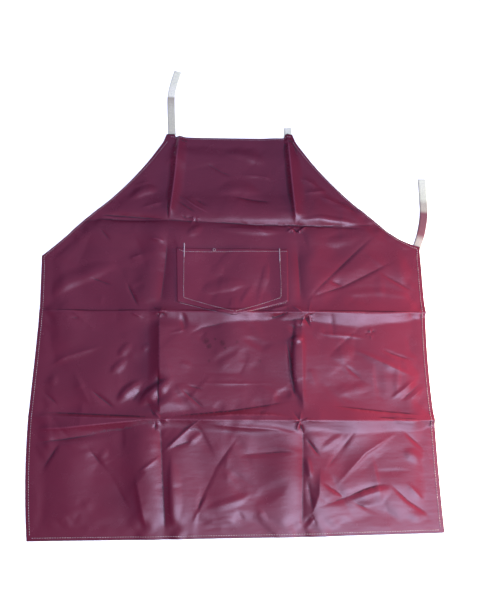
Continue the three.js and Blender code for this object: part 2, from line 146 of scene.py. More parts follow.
# Smaller creases: height, width to the left and right of the way that they run, and their pixels in the
# photograph. An edge is sharp along its middle and a roll is round. A groove has a height below 0.
EDGES = (
    # bib
    (-2.3, 10, 5, (91, 214), (133, 217), (170, 220)),
    (-1.5, 6, 5, (93, 218), (122, 220), (170, 221)),
    (-2.0, 10, 5, (192, 220), (255, 225), (291, 225), (350, 228), (376, 229)),
    (1.2, 6, 5, (179, 194), (194, 206), (213, 216)),
    (-1.1, 6, 5, (177, 200), (197, 214)),
    (-0.9, 6, 6, (190, 196), (209, 207)),
    (1.3, 16, 7, (126, 187), (152, 181)),
    (1.3, 14, 7, (140, 209), (165, 202)),
    (-1.3, 9, 6, (230, 196), (252, 200), (274, 203)),
    (-1.1, 8, 7, (206, 163), (222, 172), (234, 177)),
    (1.4, 18, 8, (238, 175), (258, 176), (278, 180)),
    (1.3, 15, 7, (299, 178), (320, 188)),
    (1.4, 15, 7, (302, 194), (330, 191)),
    (1.5, 18, 7, (317, 196), (352, 210)),
    (1.3, 12, 7, (330, 206), (366, 214)),
    (-1.2, 5, 4, (168, 199), (168, 220)),
    (1.1, 7, 5, (150, 238), (166, 242)),
    (-0.8, 6, 6, (99, 227), (111, 242)),
    (1.2, 4, 4, (286, 233), (296, 227)),
    (-1.2, 4, 4, (290, 226), (300, 234)),
    (1.2, 4, 5, (296, 234), (306, 227)),
    # left of the pocket
    (1.3, 14, 7, (128, 259), (144, 254)),
    (-1.1, 5, 6, (126, 281), (139, 308)),
    (-0.9, 5, 6, (87, 276), (114, 286)),
    (0.6, 4, 5, (43, 258), (60, 258)),
    # right of the pocket
    (-1.3, 5, 24, (379, 231), (350, 258), (316, 291), (304, 305)),
    (-1.4, 5, 24, (398, 259), (373, 272), (345, 286), (311, 298), (304, 304)),
    (-0.9, 16, 5, (327, 280), (344, 286)),
    (-1.2, 24, 5, (377, 271), (420, 295)),
    (1.2, 5, 5, (291, 306), (266, 311)),
    # dark line along the middle fold
    (-1.3, 20, 3.5, (42, 310), (100, 310), (159, 310)),
    (-1.1, 20, 3.5, (164, 310), (232, 310.5), (300, 311.5)),
    (-1.8, 22, 3.5, (307, 311), (368, 311.5), (429, 312)),
    # below the middle fold, left
    (1.3, 14, 10, (41, 370), (66, 357), (82, 352), (106, 345)),
    (-4.6, 23, 16, (158, 368), (159, 410)),
    (-1.0, 6, 6, (131, 402), (142, 389)),
    (-1.3, 7, 8, (89, 389), (116, 410)),
    (-0.9, 5, 6, (37, 387), (59, 406)),
    (0.9, 4, 4, (131, 312), (144, 318)),
    # below the middle fold, middle
    (-0.9, 7, 9, (187, 336), (202, 328), (231, 321)),
    (0.5, 3.5, 3.5, (168, 334), (188, 329)),
    (-0.4, 12, 5, (199, 373), (240, 374), (251, 351)),
    (0.6, 3.5, 4, (196, 383), (240, 383.5), (280, 383)),
    (-0.7, 4, 5, (186, 385), (205, 390)),
    (-1.0, 5, 6, (180, 387), (206, 410)),
    (-1.8, 7, 8, (290, 312), (265, 321)),
    # the long crease right of the middle
    (-2.0, 5, 5, (286, 337), (289, 352), (291, 370), (293, 387), (296, 401)),
    (-1.0, 4, 4, (304, 314), (311, 328)),
    # below the middle fold, right
    (1.0, 5, 6, (314, 330), (325, 334), (351, 336), (371, 339)),
    (1.1, 7, 13, (350, 347), (397, 369), (420, 379)),
    (-0.8, 5, 6, (379, 348), (393, 354), (417, 362)),
    (1.1, 6, 7, (390, 400), (418, 378)),
    (-0.9, 5, 5, (400, 402), (421, 383)),
    (1.0, 5, 6, (410, 400), (428, 384)),
    (-0.8, 5, 6, (344, 364), (363, 380)),
    # low fold
    (3.4, 26, 12, (20, 430), (60, 428), (100, 424), (140, 420), (168, 417)),
    (-2.0, 12, 8, (22, 444), (60, 440), (100, 434), (144, 425)),
    (-1.8, 26, 5, (34, 412), (154, 417)),
    (-2.0, 32, 6, (163, 417), (230, 411), (265, 406), (300, 399)),
    (1.5, 6, 9, (204, 417), (230, 415), (272, 415), (295, 418)),
    (1.7, 10, 14, (205, 424), (243, 427), (274, 429), (301, 435)),
    (-1.8, 26, 5, (326, 405), (380, 411), (434, 416)),
    (-1.0, 14, 4, (370, 417), (434, 420)),
    # hem row, left
    (-1.4, 5, 24, (85, 443), (111, 479), (124, 500), (132, 511)),
    (-1.4, 5, 24, (62, 440), (36, 478)),
    (1.7, 30, 9, (135, 473), (147, 536)),
    (1.3, 4, 8, (161, 454), (187, 430), (204, 417)),
    (0.8, 4, 5, (138, 473), (161, 456)),
    (-0.9, 6, 6, (169, 449), (193, 440)),
    # hem row, middle
    (-0.9, 4.5, 24, (240, 434), (216, 468), (197, 510)),
    (1.1, 22, 5, (209, 492), (192, 524)),
    (-1.7, 32, 7, (238, 456), (282, 452), (298, 452)),
    # hem row, right
    (1.2, 7, 16, (401, 430), (366, 453), (333, 489)),
    (-0.9, 6, 7, (357, 429), (325, 471)),
    (-1.3, 22, 5, (402, 430), (434, 458)),
    (-1.1, 4, 5, (305, 437), (321, 457)),
    (-1.0, 9, 9, (307, 478), (313, 512)),
    (1.5, 24, 11, (321, 465), (319, 495), (311, 516)),
    (-1.3, 11, 9, (313, 508), (345, 498), (364, 490), (388, 482)),
    (-0.9, 18, 4, (322, 482), (346, 498)),
    (-1.3, 22, 5, (348, 499), (378, 514), (409, 527)),
    (-1.2, 22, 5, (388, 482), (408, 501), (437, 520)),
    (0.7, 7, 10, (406, 482), (425, 502)),
    (-1.0, 6, 8, (300, 531), (313, 513)),
    (-0.7, 6, 6, (311, 514), (317, 527)),
    (0.8, 5, 6, (304, 532), (316, 516)),
)
ROLLS = (
    # bib
    (2.1, 8, 9, (297, 221), (319, 219), (342, 222), (368, 227)),
    (2.7, 14, 10, (128, 199), (145, 191), (161, 188)),
    (2.3, 20, 11, (214, 192), (240, 189), (264, 193)),
    (2.0, 18, 11, (220, 151), (245, 156), (270, 164)),
    (1.8, 7, 9, (213, 228), (255, 231), (291, 232)),
    (1.3, 9, 10, (186, 237), (203, 225)),
    # left of the pocket
    (2.6, 20, 15, (40, 301), (70, 281), (91, 273), (122, 262)),
    # across the pocket
    (2.0, 16, 11, (199, 293), (222, 287), (247, 283)),
    # right of the pocket
    (1.6, 36, 26, (379, 231), (350, 258), (316, 291), (304, 305)),
    (1.2, 14, 14, (323, 244), (362, 236)),
    (0.8, 8, 9, (337, 294), (380, 292), (420, 298)),
    # below the middle fold, left
    (0.9, 9, 10, (47, 384), (58, 376)),
    (1.6, 8, 11, (109, 374), (127, 358)),
    (1.4, 8, 11, (117, 357), (132, 341)),
    (0.9, 6, 8, (141, 350), (150, 344)),
    (3.0, 10, 13, (116, 403), (128, 390), (143, 379)),
    (4.2, 10, 17, (137, 406), (149, 394), (173, 378)),
    # below the middle fold, middle
    (-1.0, 9, 9, (240, 338), (250, 340), (262, 346), (276, 343)),
    (-1.2, 7, 7, (182, 311), (186, 333)),
    # the long crease right of the middle
    (3.4, 18, 6, (297, 314), (296, 333), (295, 352), (295, 374), (298, 390), (306, 407)),
    (1.6, 6, 7, (289, 323), (309, 322)),
    (2.0, 7, 7, (289, 341), (305, 338)),
    (-1.6, 10, 10, (272, 399), (294, 390)),
    # below the middle fold, right
    (1.0, 14, 15, (329, 358), (358, 349)),
    (1.1, 12, 15, (332, 393), (372, 385)),
    # hem row, left
    (3.8, 13, 9, (32, 474), (31, 537)),
    (0.9, 8, 9, (98, 459), (108, 449)),
    (1.1, 5, 8, (187, 444), (202, 432)),
    (2.0, 16, 7, (171, 452), (173, 535)),
    # hem row, middle
    (1.3, 7, 10, (203, 510), (240, 499), (254, 493)),
    (1.1, 7, 10, (196, 528), (240, 517)),
    (-0.8, 14, 14, (250, 504), (291, 480)),
    # hem row, right
    (1.0, 7, 8, (345, 433), (320, 451)),
    (1.2, 10, 13, (402, 450), (427, 461)),
    (1.4, 6, 7, (307, 455), (311, 480)),
    (2.6, 8, 19, (349, 500), (371, 493), (393, 487)),
    (1.6, 11, 13, (400, 515), (437, 521)),
    (0.9, 10, 13, (315, 527), (352, 515)),
    (0.9, 6, 6, (345, 529), (409, 527)),
)
CREASE_STRENGTHS = {"edge": 1.5, "roll": 1.25}
CREASE_SPREADS = {"edge": 1.4, "roll": 1.3}
CREASE_ENDS = 0.38
CREASE_POWER = 2.1
END_WIDTH = 0.4

# Knots of small creases where the long creases cross the folds: pixel, spread, height
KNOTS = (
    ((160, 421), 18, 1.0),
    ((304, 424), 24, 1.4),
    ((305, 314), 20, 1.1),
    ((160, 313), 12, 0.7),
    ((296, 229), 16, 0.9),
    ((192, 219), 14, 0.7),
    ((369, 333), 8, 0.6),
)
KNOT_RAYS = 7
KNOT_JITTER = 0.45
KNOT_SCATTER = 0.3
KNOT_LENGTHS = (0.6, 1.6)
KNOT_HEIGHTS = (0.3, 1.0)
KNOT_WIDTHS = (3.0, 5.0)
KNOT_SEED = 11

# Faint creases all over, slow swell between the folds, and puckers along the hem
FAINT_CREASES = 220
FAINT_AREA = ((-380, 10), (380, 790))
FAINT_LENGTHS = (25.0, 110.0)
FAINT_HEIGHTS = (0.2, 0.7)
FAINT_WIDTHS = (5.0, 18.0)
SWELL_HEIGHT = 1.1
SWELL_LENGTHS = (70.0, 200.0)
PUCKER_HEIGHT = 0.35
PUCKER_LENGTHS = (16.0, 30.0)
WAVES = 14
FAINT_SEED = 13
PUCKER_SEED = 14
SWELL_SEED = 3846

# How the cloth lies: height clear of the surface, share of the small creases that reaches the hem, softness
BED = 2.0
HEM_SHARE = 0.25
SETTLING = 0.5

# Stains: pixel, radius
STAINS = (
    ((206, 341), 7), ((209, 346), 6), ((222.5, 343), 6), ((237, 342), 3.5), ((225, 348), 3),
    ((215, 339), 3), ((260, 361), 3), ((209, 361), 3), ((369, 331), 3),
)

# Pocket
POCKET_TOP = ((-108, 549), (117, 542))
POCKET_FOOT = ((-106, 440), (6, 409), (114, 435))
POCKET_GAP = 0.5
POCKET_SWELL = 2.0
POCKET_BULGE = 0.5
POCKET_CELLS = (110, 64)

# Tapes: middle lines in plan, from the sewn end outwards
TAPES = {
    "neck_tape_left": ((-119, 776), (-119.5, 815), (-121.5, 868), (-121, 900), (-115, 930), (-107, 957)),
    "neck_tape_right": ((129, 770), (129, 815), (129, 668)),
    "waist_tie_left": ((-366, 536), (-360, 480), (-350, 425), (-344, 386)),
    "waist_tie_right": ((370, 519), (383, 546), (394, 576), (402, 612), (404, 650), (405, 690)),
}
TURNED_TAPE = "neck_tape_right"
TAPE_CELLS = (120, 12)
TURN_STEPS = 10
TAPE_THINNING = 0.8
TAPE_EDGE_POWER = 8

# Thread: stitches along the hem, the pocket's seam and its bars, in plan
THREAD = 0.42
STITCH_SHARE = 0.76
STITCH_SIDES = 6
HEM_STITCH = 4.6
POCKET_STITCH = 3.6
SIDE_INSET = 6.2
RIGHT_INSET = 6.5
ARMHOLE_INSET = 3.0
CORNER_INSET = 7.0
TOP_INSET = 3.2
FOOT_INSET = 5.0
ARMHOLE_START = 10.0
ARMHOLE_RISE = 20.0
CORNER_REACH = 100.0
POCKET_SEAMS = (
    ((-103, 546), (-93, 541.5), (6, 540), (100, 538.5), (116, 537.5)),
    ((-92.3, 531), (-93.1, 520), (-93.5, 470), (-93.1, 447), (-40, 430), (5, 416.5)),
    ((100.5, 517), (101.2, 480), (100.3, 443), (60, 430.5), (9, 416)),
    ((-102, 437), (-60, 425.5), (-28, 417)),
    ((110, 432.5), (70, 424), (36, 416)),
)
BARS = (((-91.9, 560), (-92.3, 531)), ((100.9, 545), (100.5, 517)))
BAR_WIDTH = 2.4
BAR_PITCH = 1.1
RING = (-31.3, 544.4)
RING_RADIUS = 2.5
RING_STEPS = (28, 8)
RING_LIFT = 2.2

# Stations of a stitch: share of its length, height and radius in thread radii
STITCH_STATIONS = (
    (0.0, -0.7, 0.55), (0.15, 0.25, 0.9), (0.5, 0.6, 1.0), (0.85, 0.25, 0.9), (1.0, -0.7, 0.55),
)


def smooth(value, low, high):
    t = np.clip((value - low) / (high - low), 0.0, 1.0)
    return t * t * (3 - 2 * t)


def mix(a, b, t):
    return (1 - t) * np.asarray(a, float) + t * np.asarray(b, float)


# Camera geometry, in plan millimetres
def camera_axes():
    right = np.array((1.0, 0.0, 0.0))
    down = np.array((0.0, -math.cos(CAMERA_TILT), -math.sin(CAMERA_TILT)))
    forward = np.array((0.0, math.sin(CAMERA_TILT), -math.cos(CAMERA_TILT)))
    image_right = math.cos(CAMERA_ROLL) * right + math.sin(CAMERA_ROLL) * down
    image_down = -math.sin(CAMERA_ROLL) * right + math.cos(CAMERA_ROLL) * down
    return image_right, image_down, forward


def on_plan(pixel, level=CLOTH_LEVEL):
    """The plan point that a pixel of the photograph shows, on the cloth."""
    image_right, image_down, forward = camera_axes()
    across = pixel[0] - IMAGE_WIDTH / 2
    downwards = pixel[1] - IMAGE_HEIGHT / 2
    ray = across * image_right + downwards * image_down + FOCAL_PIXELS * forward
    reach = (level - CAMERA_HEIGHT) / ray[2]
    return np.array(CAMERA_FOOT) + reach * ray[:2]


# Height of the cloth above the surface
def line_height(name, x):
    points = np.array(LINES[LINE_NAMES.index(name)][LEFT:LEFT_BOW], float)
    return np.interp(x, points[:, 0], points[:, 1])


def crease_place(column, y):
    points = np.array([line[column] for line in LINES], float)
    return np.interp(y, points[:, 1], points[:, 0])


def ridge(s, power):
    return np.clip(1 - s, 0, None) ** power


def valley(s, power):
    return VALLEY_SCALE * s * np.clip(1 - s, 0, None) ** power


PROFILES = {"ridge": ridge, "valley": valley}


def crease_fade(start, end, x, y):
    low, high = line_height(start, x), line_height(end, x)
    share = (y - low) / (high - low)
    below = 1.0 if start == "hem" else smooth(share, 0, CREASE_FADE)
    above = 1.0 if end == "top" else 1 - smooth(share, 1 - CREASE_FADE, 1)
    return below * above


def fold_height(x, y):
    total = np.zeros_like(x)
    for name, kind, stations in CROSS_FOLDS:
        places, heights, up, down = np.array(stations, float).T
        away = y - line_height(name, x)
        powers = (UPPER_POWER, LOWER_POWER) if kind == "ridge" else (VALLEY_POWER, VALLEY_POWER)
        above = PROFILES[kind](np.abs(away) / np.interp(x, places, up), powers[0])
        below = PROFILES[kind](np.abs(away) / np.interp(x, places, down), powers[1])
        total += (np.interp(x, places, heights) * np.where(away > 0, above, below)) ** 2
    for column, start, end, kind, height, reach_left, reach_right in LONG_CREASES:
        away = x - crease_place(column, y)
        reach = np.where(away > 0, reach_right, reach_left)
        power = LONG_POWER if kind == "ridge" else VALLEY_POWER
        raised = height * PROFILES[kind](np.abs(away) / reach, power)
        total += (raised * crease_fade(start, end, x, y)) ** 2
    return np.sqrt(total)


def roll(s):
    return np.clip(1 - s ** 2, 0, None) ** 2


def off_step(x, y, start, step):
    """The nearest share of a straight step in plan, and the way from there to each place."""
    along = np.clip(((x - start[0]) * step[0] + (y - start[1]) * step[1]) / (step @ step), 0, 1)
    return along, x - start[0] - along * step[0], y - start[1] - along * step[1]


def crease_height(x, y, kind, points, height, wide_left, wide_right):
    """A small crease along a few points: a ridge, or a groove where its height is negative."""
    points = np.asarray(points, float)
    steps = np.diff(points, axis=0)
    lengths = np.hypot(steps[:, 0], steps[:, 1])
    best = np.full(x.shape, np.inf)
    made = np.zeros_like(x)
    done = 0.0
    for start, step, length in zip(points, steps, lengths):
        along, dx, dy = off_step(x, y, start, step)
        away = np.hypot(dx, dy)
        share = (done + along * length) / lengths.sum()
        ends = smooth(share, 0, CREASE_ENDS) * (1 - smooth(share, 1 - CREASE_ENDS, 1))
        wide = np.where(step[0] * dy - step[1] * dx > 0, wide_left, wide_right)
        wide = wide * CREASE_SPREADS[kind] * mix(END_WIDTH, 1, ends)
        profile = roll(away / wide) if kind == "roll" else ridge(away / wide, CREASE_POWER)
        made = np.where(away < best, CREASE_STRENGTHS[kind] * height * ends * profile, made)
        best = np.minimum(best, away)
        done += length
    return made


def creases_height(x, y):
    """All the small creases together, each worked out only near itself."""
    made = np.zeros_like(x)
    for row in ALL_CREASES:
        points, reach = np.asarray(row[1]), max(row[3:]) * CREASE_SPREADS[row[0]]
        low, high = points.min(axis=0) - reach, points.max(axis=0) + reach
        near = (x > low[0]) & (x < high[0]) & (y > low[1]) & (y < high[1])
        made[near] += crease_height(x[near], y[near], *row)
    return made


def knot_creases():
    """Short random creases that run out of each knot."""
    draw = np.random.default_rng(KNOT_SEED)
    rows = []
    for pixel, spread, height in KNOTS:
        centre = on_plan(pixel)
        start = draw.uniform(0, math.tau)
        for ray in range(KNOT_RAYS):
            angle = start + math.tau * (ray + draw.uniform(-KNOT_JITTER, KNOT_JITTER)) / KNOT_RAYS
            way = np.array((math.cos(angle), math.sin(angle)))
            inner = centre + draw.normal(0, spread * KNOT_SCATTER, 2)
            outer = inner + way * spread * draw.uniform(*KNOT_LENGTHS)
            wide = draw.uniform(*KNOT_WIDTHS)
            tall = height * draw.choice((-1.0, 1.0)) * draw.uniform(*KNOT_HEIGHTS)
            rows.append(("edge", (inner, outer), tall, wide, wide))
    return rows


def faint_creases():
    """Faint creases at random over the whole panel."""
    draw = np.random.default_rng(FAINT_SEED)
    rows = []
    for _ in range(FAINT_CREASES):
        middle = draw.uniform(*FAINT_AREA)
        angle = draw.uniform(0, math.pi)
        half = draw.uniform(*FAINT_LENGTHS) / 2 * np.array((math.cos(angle), math.sin(angle)))
        tall = draw.choice((-1.0, 1.0)) * draw.uniform(*FAINT_HEIGHTS)
        kind = draw.choice(("edge", "roll"))
        rows.append((kind, (middle - half, middle + half), tall, *draw.uniform(*FAINT_WIDTHS, 2)))
    return rows


def random_waves(seed, lengths):
    draw = np.random.default_rng(seed)
    rows = []
    for _ in range(WAVES):
        number = math.tau / draw.uniform(*lengths)
        angle = draw.uniform(0, math.pi)
        rows.append((number * math.cos(angle), number * math.sin(angle), draw.uniform(0, math.tau)))
    return rows


def wave_height(x, y, waves, height):
    made = np.zeros_like(x)
    for wave_x, wave_y, phase in waves:
        made += np.sin(wave_x * x + wave_y * y + phase)
    return height * math.sqrt(2 / WAVES) * made


PLACED_CREASES = [
    (kind, [on_plan(pixel) for pixel in pixels], height, left, right)
    for kind, rows in (("edge", EDGES), ("roll", ROLLS))
    for height, left, right, *pixels in rows
]
KNOT_CREASES = knot_creases()
ALL_CREASES = PLACED_CREASES + KNOT_CREASES + faint_creases()
SWELL = random_waves(SWELL_SEED, SWELL_LENGTHS)
PUCKERS = random_waves(PUCKER_SEED, PUCKER_LENGTHS)


def loose_height(x, y):
    """Small creases and the slow swell."""
    return BED + wave_height(x, y, SWELL, SWELL_HEIGHT) + creases_height(x, y)


def tape_lift(x, y):
    """How far the tapes that lie below lift the panel."""
    layer = TAPE_THICKNESS + TAPE_GAP
    level = TAPE_WIDTH / 2 + LIFT_MARGIN
    lift = np.zeros_like(x)
    for name, plan in TAPES.items():
        layers = np.zeros_like(x)
        for start, end in zip(plan, plan[1:]):
            _, dx, dy = off_step(x, y, start, np.subtract(end, start))
            held = 1 - smooth(np.hypot(dx, dy), level, level + LIFT_SLOPE)
            layers = layers + held if name == TURNED_TAPE else np.maximum(layers, held)
        lift = np.maximum(lift, layers * layer)
    return lift


def panel_height(x, y, distance):
    """Height of the panel's lower face, at a distance in from its outline."""
    inside = smooth(distance, HEM_WIDTH, HEM_WIDTH + HEM_STEP)
    lying = fold_height(x, y) + loose_height(x, y) * mix(HEM_SHARE, 1, inside) - BED * (1 - inside)
    lying += wave_height(x, y, PUCKERS, PUCKER_HEIGHT) * (1 - inside)
    lying = (lying + np.sqrt(lying ** 2 + SETTLING)) / 2
    return (CLOTH + HEM_GAP) * (1 - inside) + tape_lift(x, y) + lying


# Plan of the panel's mesh
def crowded(cells):
    t = np.linspace(0, 1, cells + 1)
    return t - CROWDING * np.sin(math.tau * t) / math.tau


def edge_point(below, above, side, t):
    column = LEFT if side == "left" else RIGHT
    a, b = np.array(below[column], float), np.array(above[column], float)
    bow = 4 * t * (1 - t) * (below[LEFT_BOW] if side == "left" else -below[RIGHT_BOW])
    way = (b - a) / np.linalg.norm(b - a)
    return mix(a, b, t) + bow * np.array((way[1], -way[0]))


def tab_height(x):
    inside = [np.minimum(x - low, high - x) for low, high in TABS]
    return np.max([TAB_HEIGHT * smooth(i, 0, TAB_STEP) for i in inside], axis=0)


def hem_points(below, above, side, inner, t):
    """Points across the hem at one side of a row, from the edge inwards."""
    ahead = min(t + EDGE_STEP, 1.0)
    edge, a, b = (edge_point(below, above, side, at) for at in (t, ahead - EDGE_STEP, ahead))
    lean = abs(b[1] - a[1]) / np.linalg.norm(b - a)
    share = min(WIDEST_HEM, HEM_WIDTH / lean / abs(inner[0] - edge[0]))
    return [mix(edge, inner, share * depth / HEM_WIDTH) for depth in HEM_RINGS]


def plan_row(below, above, t):
    first, second = (mix(below[column], above[column], t) for column in (FIRST, SECOND))
    left_hem = hem_points(below, above, "left", first, t)
    right_hem = hem_points(below, above, "right", second, t)
    ends = [left_hem[-1], first, second, right_hem[-1]]
    row = left_hem[:-1]
    for block, cells in enumerate(COLUMN_CELLS):
        shares = crowded(cells)[0 if block == 0 else 1:]
        row.extend(mix(ends[block], ends[block + 1], share) for share in shares)
    row.extend(reversed(right_hem[:-1]))
    return row


def panel_plan():
    rows = []
    rings = np.array(HEM_RINGS)
    for k, cells in enumerate(ROW_CELLS):
        below, above = LINES[k], LINES[k + 1]
        hem = rings / (above[FIRST][1] - below[FIRST][1])
        shares = crowded(cells)[:-1]
        if k == 0:
            shares = np.concatenate((hem[:-1], hem[-1] + (1 - hem[-1]) * shares))
        if k == len(ROW_CELLS) - 1:
            shares = np.concatenate((shares * (1 - hem[-1]), 1 - hem[:0:-1], [1.0]))
        rows.extend(plan_row(below, above, t) for t in shares)
    plan = np.array(rows)
    for ring, depth in enumerate(HEM_RINGS):
        plan[-1 - ring, :, 1] += tab_height(plan[-1 - ring, :, 0]) * (1 - depth / HEM_WIDTH)
    return plan


PLAN = panel_plan()


def edge_distance(x, y):
    """Distance in from the panel's outline, near enough to shape its hem."""
    from_left = x - np.interp(y, PLAN[:, 0, 1], PLAN[:, 0, 0])
    from_right = np.interp(y, PLAN[:, -1, 1], PLAN[:, -1, 0]) - x
    from_hem = y - line_height("hem", x)
    from_top = line_height("top", x) - y
    return np.min([from_left, from_right, from_hem, from_top], axis=0)


# Meshes
def gone_along(path):
    """Length of a path up to each of its points."""
    return np.concatenate(([0.0], np.cumsum(np.linalg.norm(np.diff(path, axis=0), axis=1))))


def even_points(path, step):
    """Places at even steps along a path in plan."""
    path = np.asarray(path, float)
    gone = gone_along(path)
    count = max(2, int(round(gone[-1] / step)) + 1)
    at = np.linspace(0, gone[-1], count)
    return np.column_stack([np.interp(at, gone, path[:, k]) for k in range(2)])


def in_frame(places):
    """Plan millimetres to metres in the frame."""
    places = np.asarray(places, float) * MM
    return places + np.array((PLAN_X, PLAN_Y, 0.0))


def make_object(name, places, faces, material, slot, attributes=None):
    mesh = bpy.data.meshes.new(name)
    mesh.from_pydata(in_frame(places).tolist(), [], [tuple(int(k) for k in face) for face in faces])
    mesh.polygons.foreach_set("use_smooth", [True] * len(mesh.polygons))
    mesh.materials.append(material)
    for title, values in (attributes or {}).items():
        kind, field = ("FLOAT", "value") if values.ndim == 1 else ("FLOAT_VECTOR", "vector")
        mesh.attributes.new(title, kind, "POINT").data.foreach_set(field, values.astype(float).ravel())
    mesh.update()
    made = bpy.data.objects.new(name, mesh)
    bpy.context.collection.objects.link(made)
    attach(made, "root")
    return made


def quads_of(index):
    """Faces of a grid of vertex numbers, seen from above."""
    corners = (index[:-1, :-1], index[:-1, 1:], index[1:, 1:], index[1:, :-1])
    return np.stack(corners, axis=-1).reshape(-1, 4)


def loop_of(index, inset):
    """Vertex numbers round a grid, anticlockwise, a number of cells in from its rim."""
    inner = index[inset:index.shape[0] - inset, inset:index.shape[1] - inset]
    return np.concatenate((inner[0, :-1], inner[:-1, -1], inner[-1, :0:-1], inner[:0:-1, 0]))


def wall(low, high):
    return np.stack((low, np.roll(low, -1), np.roll(high, -1), high), axis=-1)


def numbered(shape, layers):
    """A grid of vertex numbers for each of several layers."""
    return np.arange(layers * shape[0] * shape[1]).reshape(layers, *shape)


def only_used(places, *kinds_of_faces):
    """The places that faces use, the faces with their new numbers, and the old number of each place."""
    corners = np.concatenate([faces.ravel() for faces in kinds_of_faces])
    used, numbers = np.unique(corners, return_inverse=True)
    renumbered, first = [], 0
    for faces in kinds_of_faces:
        renumbered.extend(numbers[first:first + faces.size].reshape(faces.shape).tolist())
        first += faces.size
    return places[used], renumbered, used


def within_rim(points, margin):
    """Which plan points lie inside the hem's inner line by a margin."""
    x, y = points.T
    ring = len(HEM_RINGS) - 1
    left, right, foot, top = PLAN[:, ring], PLAN[:, -1 - ring], PLAN[ring], PLAN[-1 - ring]
    inside = x > np.interp(y, left[:, 1], left[:, 0]) + margin
    inside &= x < np.interp(y, right[:, 1], right[:, 0]) - margin
    inside &= y > np.interp(x, foot[:, 0], foot[:, 1]) + margin
    return inside & (y < np.interp(x, top[:, 0], top[:, 1]) - margin)


def fold_lines():
    """Middle lines of the folds and the long creases, in plan."""
    across = [fold[0] for fold in CROSS_FOLDS]
    lines = [np.array(line[LEFT:LEFT_BOW], float) for line in LINES if line[0] in across]
    return lines + [np.array([line[column] for line in LINES], float) for column in (FIRST, SECOND)]


def beside(points, reach):
    """A line in plan moved sideways, to its left."""
    way = np.gradient(points, axis=0)
    way /= np.linalg.norm(way, axis=1, keepdims=True)
    return points + reach * np.column_stack((-way[:, 1], way[:, 0]))


def crease_lines():
    """Lines that the panel's triangles follow: along each crease and a little to both sides of it."""
    lines = []
    rows = [(line, 2 * CREASE_SIDE) for line in fold_lines()]
    sharp = [row for row in PLACED_CREASES + KNOT_CREASES if row[0] == "edge"]
    rows += [(points, min(wide)) for _, points, _, *wide in sharp]
    for points, wide in rows:
        middle = even_points(points, CREASE_STEP)
        side = min(CREASE_SIDE, wide / 2)
        lines += [middle, beside(middle, side), beside(middle, -side)]
    return lines


def hexagon_points(step):
    """Evenly spread points over the panel's box."""
    low, high = PLAN.min(axis=(0, 1)), PLAN.max(axis=(0, 1))
    rise = step * math.sqrt(3) / 2
    rows = np.arange(low[1], high[1], rise)
    columns = np.arange(low[0], high[0], step)
    x, y = np.meshgrid(columns, rows)
    x[1::2] += step / 2
    return np.column_stack((x.ravel(), y.ravel()))


def triangulated(rim, lines, step):
    """Points and triangles inside a rim in plan that follow lines, and each point's rim number or -1."""
    points = [tuple(p) for p in rim]
    edges = [(k, (k + 1) % len(rim)) for k in range(len(rim))]
    for line in lines:
        kept = within_rim(line, CREASE_SIDE)
        numbers = np.where(kept, len(points) + np.cumsum(kept) - 1, -1)
        points += [tuple(p) for p in line[kept]]
        edges += [(int(a), int(b)) for a, b in zip(numbers, numbers[1:]) if min(a, b) >= 0]
    tree = KDTree(len(points))
    for k, p in enumerate(points):
        tree.insert((*p, 0.0), k)
    tree.balance()
    spread = hexagon_points(step)
    spread = spread[within_rim(spread, step / 2)]
    points += [tuple(p) for p in spread if tree.find((*p, 0.0))[2] > CLEARANCE * step]
    flat, _, faces, origins, _, _ = delaunay_2d_cdt([Vector(p) for p in points], edges, [], 1, MERGE)
    on_rim = [min(numbers) if numbers and min(numbers) < len(rim) else -1 for numbers in origins]
    return np.array(flat), np.array(faces), np.array(on_rim)


def stain_of(x, y):
    made = np.zeros_like(x)
    for pixel, radius in STAINS:
        centre = on_plan(pixel)
        made = np.maximum(made, np.exp(-((x - centre[0]) ** 2 + (y - centre[1]) ** 2) / radius ** 2))
    return made


def bend_of(places, faces):
    """How sharply the cloth bends at each place: above 0 on a ridge, below 0 in a groove."""
    ahead = np.roll(faces, -1, axis=1)
    a, b = faces.ravel(), ahead.ravel()
    fall = (places[a, 2] - places[b, 2]) / np.linalg.norm(places[a, :2] - places[b, :2], axis=1)
    count = np.maximum(np.bincount(a, minlength=len(places)), 1)
    return np.bincount(a, weights=fall, minlength=len(places)) / count


def lying_height(x, y):
    return panel_height(x, y, edge_distance(x, y))


def lowest_height(x, y):
    """The lowest height of the panel's lower face round each place."""
    reach = LOWER_STEP / 2
    around = [(a * reach, b * reach) for a in (-1, 0, 1) for b in (-1, 0, 1)]
    return np.min([lying_height(x + dx, y + dy) for dx, dy in around], axis=0)


